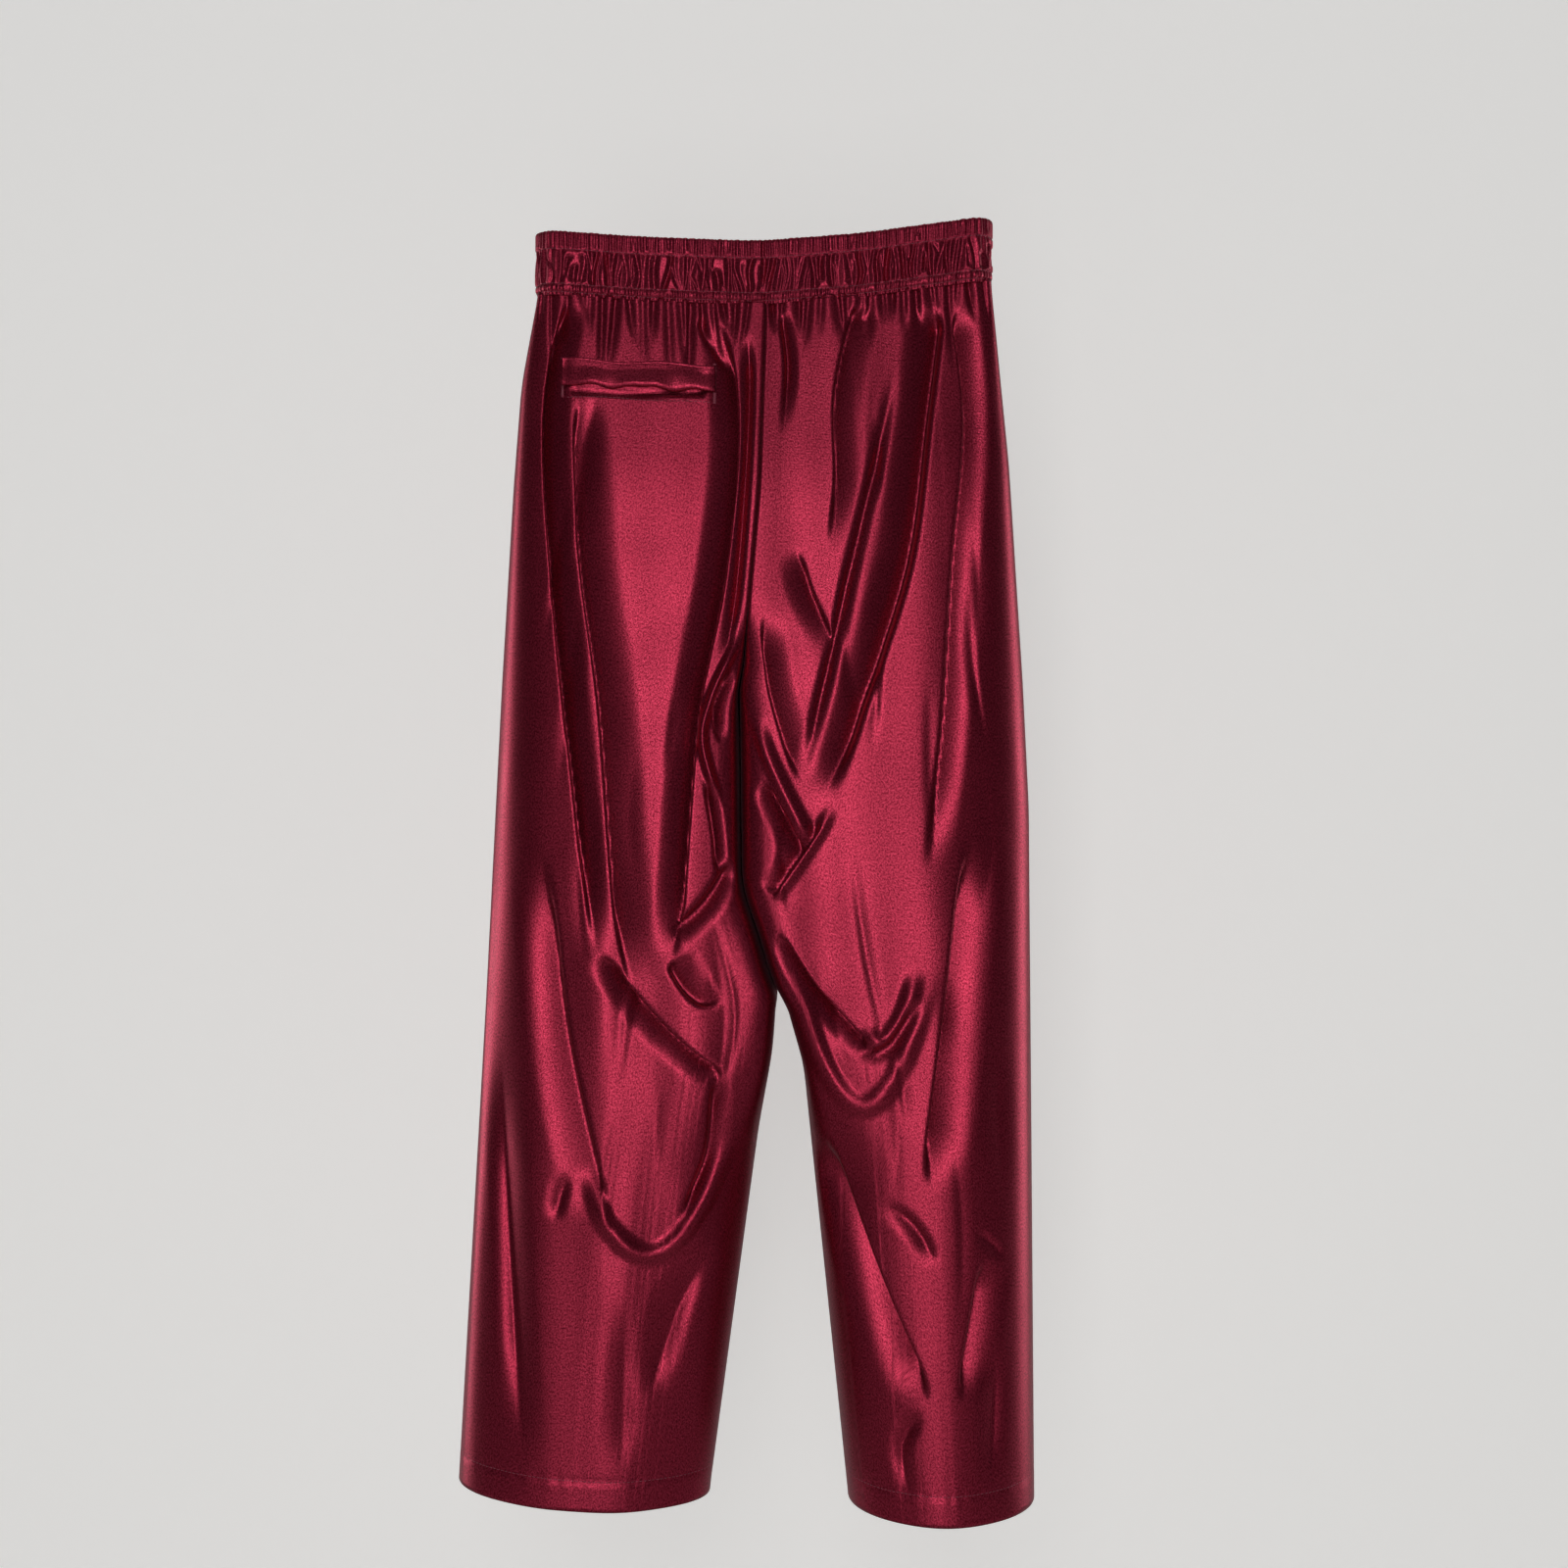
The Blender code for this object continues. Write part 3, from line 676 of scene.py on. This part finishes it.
def panelShape(side, face):
    x, z, depth, share = panelGrid(side)
    folds = panelFolds[side, face]
    height, leanX, leanZ = foldField(x, z, inMetres(folds))
    height = height + undulation(x, z, 11 if face == "back" else 12)
    fromSeam = np.abs(x - x[:, :1])
    fromInner = np.abs(x - x[:, -1:])
    low, high = form["centreOpen"]
    legs = 1 - ease((z - low) / (high - low))
    calm = ease(fromSeam / 0.006) * (1 - legs * (1 - ease(fromInner / 0.006)))
    level = ease(fromSeam / 0.02) * ease(fromInner / 0.012) * ease((z - form["hem"][side]) / 0.02)
    height, leanX, leanZ = height * calm, leanX * level, leanZ * level
    # the inner seam's allowance pulls the edge in a little
    roll = panel["edgeRoll"] * (np.clip(1 - fromInner / panel["edgeWidth"], 0, 1) ** 2)
    hemFrom = z - hemLine(side, share)
    hemStep = panel["hemStep"] * (1 - ease((hemFrom - panel["hemHeight"]) / 0.001))
    dent = panel["stitchDent"] * np.exp(-((hemFrom - panel["hemHeight"]) / 0.0011) ** 2)
    pucker = 0.00014 * np.sin(x * 520 + 2 * np.sin(x * 90))
    pucker = pucker * np.exp(-((hemFrom - panel["hemHeight"]) / 0.006) ** 2)
    away = np.clip(depth + height - roll + hemStep - dent + pucker, 0.0004 * (depth > 0), None)
    y = sign[face] * np.maximum(away, 0.0002)
    # between the crotch and the knees one leg laps a little over the other, so no light comes through
    between = ease((-0.335 - z) / 0.03) * ease((z - form["partingHeight"] + 0.01) / 0.04)
    x = x + sign[face] * form["legLap"] * between * (1 - np.exp(-away / 0.005)) * np.exp(-fromInner / 0.02)
    x, z = x + leanX, z + leanZ
    if face == "front":
        # the side pocket's mouth: the front panel's edge bows away from the side seam
        low, high = pocket["mouth"]
        bow = np.sin(math.pi * np.clip((z - low) / (high - low), 0, 1)) ** 0.5
        x = x - sign[side] * pocket["mouthWidth"] * bow * np.exp(-fromSeam / 0.012)
    return np.stack([x, y, z], axis=-1)


# the seeds of the drift lines, the gathers at the back, the front's folds and the gathers at the front
seeds = dict(left=(52, 5, 21, 31), right=(57, 8, 22, 32))
panelFolds = {}
for side, (drift, backGathers, front, frontGathers) in seeds.items():
    own = [tuple(fold[1:]) for fold in backFolds if fold[0] == side]
    reach = sorted((sign[side] * 0.006, sign[side] * 0.172))
    panelFolds[side, "back"] = own + driftFolds(drift, side) + gatherFolds(backGathers, *reach)
    panelFolds[side, "front"] = frontFolds(front, side) + gatherFolds(frontGathers, *reach)

panelGrids = {}


def blendAtHip(piece):
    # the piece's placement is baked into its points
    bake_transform(piece)


def makePanels():
    for side in ("left", "right"):
        for face in ("back", "front"):
            grid = panelShape(side, face)
            panelGrids[side, face] = grid
            faces = gridFaces(*grid.shape[:2])
            if sign[side] * sign[face] < 0:
                faces = faces[:, ::-1]
            piece = newMesh(f"{side}_{face}_panel", grid, faces, satinCloth, clothUv(grid))
            thicken(piece, panel["thickness"])
            blendAtHip(piece)
            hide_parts(f"{side}_{face}_seat", f"{side}_{face}_leg")


# ---------- waistband ----------

band = dict(halfWidth=0.178, halfDepth=0.020, columns=800, outerRows=54, innerRows=12, crest=0.0018,
            topRound=0.0035, topRise=0.0022, inner=-0.0052, deepest=-0.0009, drawIn=0.0016, seamDent=0.0009,
            rowHeights=(0.0135, 0.0405, 0.0468), rowDent=0.0007, topPleat=0.0036, creaseStep=0.0072,
            lowPleat=0.0040, flat=(0.450, 0.049))


def outerHeights():
    # depths below the top edge, from the lower edge up
    return np.linspace(form["bandHeight"] + 0.0012, 0.0016, band["outerRows"])


def ovalLine(face):
    # half of a flat oval seen from above, from the left side seam to the right one, by its length
    width, radius = band["halfWidth"], band["halfDepth"]
    straight = 2 * (width - radius)
    bend = math.pi / 2 * radius
    s = np.linspace(0, 2 * bend + straight, band["columns"])
    first, last = s < bend, s > bend + straight
    angle = np.where(first, s / radius, np.where(last, (s - bend - straight) / radius, 0))
    x = np.where(first, -(width - radius) - radius * np.cos(angle),
                 np.where(last, (width - radius) + radius * np.sin(angle), -(width - radius) + s - bend))
    y = np.where(first, radius * np.sin(angle), np.where(last, radius * np.cos(angle), radius))
    nx = np.where(first, -np.cos(angle), np.where(last, np.sin(angle), 0))
    ny = np.where(first, np.sin(angle), np.where(last, np.cos(angle), 1))
    return s, x, sign[face] * y, nx, sign[face] * ny


def creases(s, h, seed, step, low, high, width, depth, wander):
    # sharp-floored creases that run down the band, wandering and leaning so that neighbours join; where two
    # meet, the deeper one counts
    rng = np.random.default_rng(seed)
    field = np.zeros_like(s)
    at = rng.uniform(0, step)
    while at < s.max():
        lean = rng.uniform(-1, 1) * wander
        swing, beat, phase = rng.uniform(0.2, 1) * wander * 0.5, rng.uniform(90, 190), rng.uniform(0, 6.3)
        start, end = (low, high) if rng.random() < 0.55 else sorted(rng.uniform(low, high, 2))
        if end - start < (high - low) * 0.4:
            start, end = (low, high)
        line = at + lean * (h - (low + high) / 2) / (high - low) + swing * np.sin(h * beat + phase)
        w = width * rng.uniform(0.75, 1.35)
        inside = ease((h - start + 0.002) / 0.004) * ease((end + 0.002 - h) / 0.004)
        t = np.clip(np.abs(s - line) / w, 0, 1)
        profile = (1 - np.sqrt(t * t + 0.01)).clip(0) ** 1.3
        field = np.maximum(field, depth * rng.uniform(0.55, 1.15) * profile * inside)
        at += step * rng.uniform(0.6, 1.4)
    return field


def bandHeightField(s, h, seed):
    rows = band["rowHeights"]
    layers = (
        # between the rows: deep creases, and finer ones that cross and join them
        creases(s, h, seed, band["creaseStep"], rows[0], rows[1], 0.0044, 0.0027, 0.0042),
        creases(s, h, seed + 1, band["creaseStep"] * 1.7, rows[0], rows[1], 0.0030, 0.0020, 0.0075),
        # above and below the rows: short, close pleats
        creases(s, h, seed + 2, band["topPleat"], -0.004, rows[0] - 0.0005, 0.0023, 0.0013, 0.0006),
        creases(s, h, seed + 3, band["lowPleat"], rows[1] - 0.001, 0.055, 0.0026, 0.0014, 0.0010))
    field = np.maximum.reduce(layers)
    for row in rows:
        field = field + band["rowDent"] * np.exp(-((h - row) / 0.0009) ** 2)
    return field


def makeBand(face, seed):
    s, x, y, nx, ny = ovalLine(face)
    top = bandTopAt(x)
    outerRows, innerRows = band["outerRows"], band["innerRows"]
    # the wall's outline: outside from the bottom up, over the top, and down inside
    turn = np.linspace(0, math.pi, 8)[1:-1]
    h = np.concatenate([outerHeights(), np.full(len(turn), 0.0010),
                        np.linspace(0.003, form["bandHeight"] - 0.001, innerRows)])
    overTop = band["crest"] - band["topRound"] + band["topRound"] * np.cos(turn)
    out = np.concatenate([np.full(outerRows, band["crest"]), overTop, np.full(innerRows, band["inner"])])
    lift = np.concatenate([np.zeros(outerRows), band["topRise"] * np.sin(turn), np.zeros(innerRows)])
    sGrid, hGrid = np.meshgrid(s, h)
    crimp = bandHeightField(sGrid, np.clip(hGrid, 0, None), seed)
    outerPart = np.concatenate([np.ones(outerRows), 0.5 + 0.5 * np.cos(turn), np.zeros(innerRows)])[:, None]
    topPart = np.concatenate([np.zeros(outerRows), np.sin(turn), np.zeros(innerRows)])[:, None]
    # the wall draws in to meet the panels at its lower edge
    draw = band["drawIn"] * ease((hGrid - 0.0440) / 0.005) * outerPart
    offset = out[:, None] - crimp * outerPart - draw
    # the centre and side seams run down through the band
    seam = np.minimum(np.abs(sGrid - s[-1] / 2), np.minimum(sGrid, s[-1] - sGrid))
    offset = offset - band["seamDent"] * np.exp(-(seam / 0.0012) ** 2) * outerPart
    # the creases stay clear of the elastic inside
    offset = np.where(outerPart > 0.99, np.maximum(offset, band["deepest"]), offset)
    rise = lift[:, None] - hGrid - 0.4 * crimp * topPart
    grid = np.stack([x + nx * offset, y + ny * offset, top + rise], axis=-1)
    rows, columns = grid.shape[:2]
    faces = gridFaces(columns, rows, wrap=True)
    points = grid.transpose(1, 0, 2)
    # the wall is closed at its two ends, at the side seams
    ends = [list(range(rows))[::-1], list(range((columns - 1) * rows, columns * rows))]
    if face == "front":
        faces = faces[:, ::-1]
    piece = newMesh(f"waistband_{face}", points, faces, satinCloth, clothUv(points), caps=ends)
    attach(piece, "seat")
    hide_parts(f"waistband_casing_{face}")
    return grid


# ---------- seam allowances ----------

allowance = dict(inside=0.0016, reach=0.0060, innerReach=0.0050, rows=180, columns=7, inseamTop=-0.353,
                 underBand=0.006, aboveHem=0.003)


def sideSeamTop(side):
    # a side seam's allowance starts inside the band
    top = float(bandTopAt(np.array(sign[side] * band["halfWidth"])))
    return top - form["bandHeight"] + allowance["underBand"]


def makeAllowance(name, side, inner):
    # the two cloth edges of a seam, pressed open inside the leg: a narrow strip just behind the seam
    top = allowance["inseamTop"] if inner else sideSeamTop(side)
    bottom = float(hemLine(side, 1.0 if inner else 0.0)) + allowance["aboveHem"]
    z = np.linspace(top, bottom, allowance["rows"])[:, None]
    seams = seamLines(side, z)
    inward = sign[side] if inner else -sign[side]
    x = seams[1 if inner else 0] + inward * allowance["inside"]
    reach = allowance["innerReach" if inner else "reach"]
    low, high = pocket["mouth"]
    mouth = ease((z - low + 0.004) / 0.004) * ease((high + 0.004 - z) / 0.004)
    front = reach if inner else reach * (1 - mouth) + 0.0002
    t = np.linspace(0, 1, allowance["columns"])[None, :]
    y = -reach + (front + reach) * t
    if inner:
        between = ease((-0.335 - z) / 0.03) * ease((z - form["partingHeight"] + 0.01) / 0.04)
        x = x + np.sign(y) * form["legLap"] * between * (1 - np.exp(-np.abs(y) / 0.005))
    x = x + inward * 6.0 * y ** 2 + 0.0002 * np.sin(z * 300)
    grid = np.stack([x + 0 * y, y + 0 * x, z + 0 * y], axis=-1)
    faces = gridFaces(allowance["rows"], allowance["columns"])
    piece = newMesh(name, grid, faces if inward > 0 else faces[:, ::-1], satinCloth, clothUv(grid))
    thicken(piece, 0.0005)
    blendAtHip(piece)


# ---------- pockets, label and stitching ----------


def surfaceAt(side, face, x, z):
    # how far out (along y) the panel's outer face is at each x and height: the seam lines and the two ends of
    # the panel give the row and column there, and the four corners around that place are mixed
    grid = panelGrids[side, face][..., 1]
    lastRow, lastColumn = grid.shape[0] - 1, grid.shape[1] - 1
    outer, inner = seamLines(side, z)
    share = (x - outer) / (inner - outer)
    high = bandTopAt(x) - form["bandHeight"] + panel["underBand"]
    down = (z - high) / (hemLine(side, share) - high)
    column = np.interp(share, columnShares(), np.arange(lastColumn + 1))
    row = np.clip(down, 0, 1) * lastRow
    r, c = np.minimum(row.astype(int), lastRow - 1), np.minimum(column.astype(int), lastColumn - 1)
    a, b = row - r, column - c
    upper = grid[r, c] * (1 - b) + grid[r, c + 1] * b
    lower = grid[r + 1, c] * (1 - b) + grid[r + 1, c + 1] * b
    return upper * (1 - a) + lower * a


def spread(values, steps, highest):
    # each point takes the highest (or lowest) value around it, then the result is averaged
    for axis in (0, 1):
        moved = [np.roll(values, k, axis) for k in range(-steps, steps + 1)]
        values = np.max(moved, axis=0) if highest else np.min(moved, axis=0)
    for axis in (0, 1):
        values = np.mean([np.roll(values, k, axis) for k in range(-steps, steps + 1)], axis=0)
    return values


def weltSlope(x):
    # the pocket dips a little towards the centre seam
    left, right = pocket["weltX"]
    return pocket["slope"] * ((x - left) / (right - left) - 0.15)


def makeWelt():
    # a folded strip sewn down at its top and ends, whose lower lip hangs loose and waves
    rows, columns = 18, 100
    t = np.linspace(0, 1, columns)[None, :]
    d = np.linspace(0, 1, rows)[:, None]
    left, right = pocket["weltX"]
    x = left + (right - left) * t + 0 * d
    free = np.sin(math.pi * t) ** 0.6
    wave = np.sin(t * 17 - 1.2) * 0.55 + np.sin(t * 29 + 2.0) * 0.3
    lip = pocket["weltLip"] + free * (0.0004 + 0.0026 * wave)
    top = pocket["weltTop"] + 0.0011 * np.sin(t * 11 + 0.4)
    z = top + (lip - top) * d + weltSlope(x)
    base = spread(surfaceAt("left", "back", x, z), 3, False)
    # it stands out more and more towards the lip, whose edge turns back under
    swell = (0.3 + 0.7 * free) * 0.0046 * d + free * 0.0016 * wave * d ** 2
    swell = swell - (0.4 + 0.6 * free) * 0.0026 * np.clip((d - 0.86) / 0.14, 0, 1) ** 2
    press = 0.0004 * np.exp(-((d - 0.08) / 0.04) ** 2)
    grid = np.stack([x, base - 0.0010 - swell + press, z], axis=-1)
    piece = newMesh("back_pocket_welt", grid, gridFaces(rows, columns)[:, ::-1], satinCloth, clothUv(grid))
    thicken(piece, 0.0006)
    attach(piece, "seat")
    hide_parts("back_pocket_welt")
    return grid


def makeBag(name, side, face, xRange, zRange, inset):
    # one layer of a pocket bag, which hangs just inside its panel and follows it
    low, high = sorted(xRange)
    rows, columns = 60, 44
    t = np.linspace(0, 1, columns)[None, :]
    d = np.linspace(0, 1, rows)[:, None]
    z = zRange[1] + (zRange[0] - zRange[1]) * d
    corner = 0.030
    cut = corner - np.sqrt(np.clip(corner ** 2 - np.clip(corner - (z - zRange[0]), 0, None) ** 2, 0, None))
    x = (low + cut) + (high - low - 2 * cut) * t
    z = z + 0 * t
    base = spread(surfaceAt(side, face, x, z), 4, face == "back")
    ripple = 0.0005 * np.sin(x * 160 + z * 40)
    y = base - sign[face] * inset + ripple
    y = np.minimum(y, -0.002) if face == "back" else np.maximum(y, 0.002)
    grid = np.stack([x, y, z], axis=-1)
    faces = gridFaces(rows, columns)
    if face == "back":
        faces = faces[:, ::-1]
    piece = newMesh(name, grid, faces, pocketCloth, clothUv(grid))
    thicken(piece, 0.0004)
    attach(piece, "seat")
    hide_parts(name)


def makeBags():
    # each pocket has two layers, one behind the other
    near, far = 0.0026, 0.0044
    ends, bottom = (-0.152, -0.036), -0.270
    makeBag("back_pocket_bag_outer", "left", "back", ends, (bottom, -0.132), near)
    makeBag("back_pocket_bag_inner", "left", "back", ends, (bottom, -0.100), far)
    for side in ("left", "right"):
        ends, heights = (sign[side] * 0.062, sign[side] * 0.166), (-0.315, -0.074)
        for layer, inset in (("front", near), ("back", far)):
            makeBag(f"{side}_pocket_bag_{layer}", side, "front", ends, heights, inset)


def threads(name, starts, ends, radius, body, lift):
    # short stitches: six-sided threads whose ends dip into the cloth
    starts, ends = np.asarray(starts, float), np.asarray(ends, float)
    along = ends - starts
    along = along / np.linalg.norm(along, axis=1, keepdims=True)
    out = np.asarray(lift, float) / max(np.linalg.norm(lift), 1e-9) + 0 * along
    sideways = np.cross(along, out)
    sideways /= np.linalg.norm(sideways, axis=1, keepdims=True)
    up = np.cross(sideways, along)
    points, faces = [], []
    shares, sizes, dips = (0, 0.25, 0.75, 1), (0.5, 1, 1, 0.5), (1, 0, 0, 1)
    for share, size, dip in zip(shares, sizes, dips):
        middle = starts + (ends - starts) * share + np.asarray(lift) - up * dip * radius * 1.4
        for k in range(6):
            angle = k * math.tau / 6
            points.append(middle + (sideways * math.cos(angle) + up * math.sin(angle)) * radius * size)
    points = np.stack(points, axis=1)
    one = [(r * 6 + k, r * 6 + (k + 1) % 6, (r + 1) * 6 + (k + 1) % 6, (r + 1) * 6 + k)
           for r in range(3) for k in range(6)]
    caps = [(0, 5, 4, 3), (0, 3, 2, 1), (18, 19, 20, 21), (18, 21, 22, 23)]
    base = np.arange(len(starts))[:, None, None] * 24
    faces = (base + np.array(one + caps)[None]).reshape(-1, 4)
    piece = newMesh(name, points, faces, threadFinish)
    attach(piece, body)
    return piece


def alongRow(points, length, gap):
    # splits a line of points into stitches with small gaps between them
    step = np.linalg.norm(np.diff(points, axis=0), axis=1)
    reach = np.concatenate([[0], np.cumsum(step)])
    count = int(reach[-1] / (length + gap))
    first = np.arange(count) * (length + gap) + gap / 2
    return [np.stack([np.interp(first + extra, reach, points[:, k]) for k in range(3)], axis=1)
            for extra in (0, length)]


stitch = dict(length=0.0027, gap=0.0006, radius=0.00028)


def makeStitches():
    for face in ("back", "front"):
        grid = bandGrids[face]
        heights = outerHeights()
        starts, ends = [], []
        for height in band["rowHeights"]:
            row = int(np.argmin(np.abs(heights - height)))
            line = grid[row, 12:-12]
            a, b = alongRow(line, stitch["length"] * 0.8, stitch["gap"])
            starts.append(a)
            ends.append(b)
        threads(f"waist_stitching_{face}", np.concatenate(starts), np.concatenate(ends), stitch["radius"],
                "seat", (0, sign[face] * 0.0003, 0))
    for (side, face), grid in panelGrids.items():
        middle = panel["columns"] // 2
        heights = grid[:, middle, 2] - grid[-1, middle, 2]
        row = int(np.argmin(np.abs(heights - panel["hemHeight"])))
        a, b = alongRow(grid[row, 3:-3], stitch["length"], stitch["gap"])
        threads(f"{side}_{face}_hem_stitching", a, b, stitch["radius"], f"{side}_leg",
                (0, sign[face] * 0.0002, 0))


def makePocketStitches(welt):
    left, right = pocket["weltX"]
    x = np.linspace(left + 0.001, right - 0.001, 90)
    z = pocket["lowRow"] + weltSlope(x) + 0.0006 * np.sin(x * 90)
    low = np.stack([x, surfaceAt("left", "back", x, z), z], axis=1)
    top = welt[1, 3:-3]
    pairs = [alongRow(line, stitch["length"], stitch["gap"]) for line in (low, top)]
    starts, ends = (np.concatenate(part) for part in zip(*pairs))
    threads("back_pocket_stitching", starts, ends, stitch["radius"], "seat", (0, -0.0003, 0))
    # the bar tacks: close satin stitches across each end of the welt
    count = 52
    for name, middle in (("bar_tack_outer", left + 0.0008), ("bar_tack_inner", right - 0.0008)):
        z = np.linspace(pocket["weltTop"] + 0.0005, pocket["lowRow"], count) + weltSlope(middle)
        wide = np.where(np.arange(count) % 2, 0.0013, 0.0011)
        reach = 0 * z + middle
        y = surfaceAt("left", "back", reach, z)
        # over the welt the stitches stand further out than below it
        lift = np.where(z > pocket["weltLip"] + weltSlope(middle), 0.0022, 0.0009)
        y = np.minimum.reduce([np.roll(y, k) for k in range(-2, 3)]) - lift
        start = np.stack([middle - wide, y, z], axis=1)
        end = np.stack([middle + wide, y, z - 0.0003], axis=1)
        piece = threads(name, start, end, 0.00030, "seat", (0, -0.0002, 0))
        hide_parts(name)


def makeLabel():
    # a blank tape tab whose free end curls
    low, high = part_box("care_label")
    rows, columns = 30, 24
    t = np.linspace(0, 1, columns)[None, :]
    d = np.linspace(0, 1, rows)[:, None]
    curl = 0.004 * ease((d - 0.35) / 0.65) * (0.8 + 0.2 * np.sin(t * 3))
    x = low[0] + (high[0] - low[0]) * t + 0 * d
    z = high[2] + (low[2] - high[2]) * d + 0 * t
    grid = np.stack([x, high[1] + curl, z], axis=-1)
    piece = newMesh("care_label", grid, gridFaces(rows, columns), labelTape, clothUv(grid))
    thicken(piece, 0.0005)
    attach(piece, "seat")
    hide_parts("care_label")


makePanels()
print("panels made")
bandGrids = {face: makeBand(face, 40 if face == "back" else 60) for face in ("back", "front")}
print("waistband made")
for side in ("left", "right"):
    makeAllowance(f"{side}_side_seam_allowance", side, False)
    makeAllowance(f"{side}_inseam_allowance", side, True)
weltGrid = makeWelt()
makeBags()
print("pockets made")
makeStitches()
makePocketStitches(weltGrid)
makeLabel()
print("stitching and label made")
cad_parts["waist_elastic"].data.materials.clear()
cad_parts["waist_elastic"].data.materials.append(webbing)
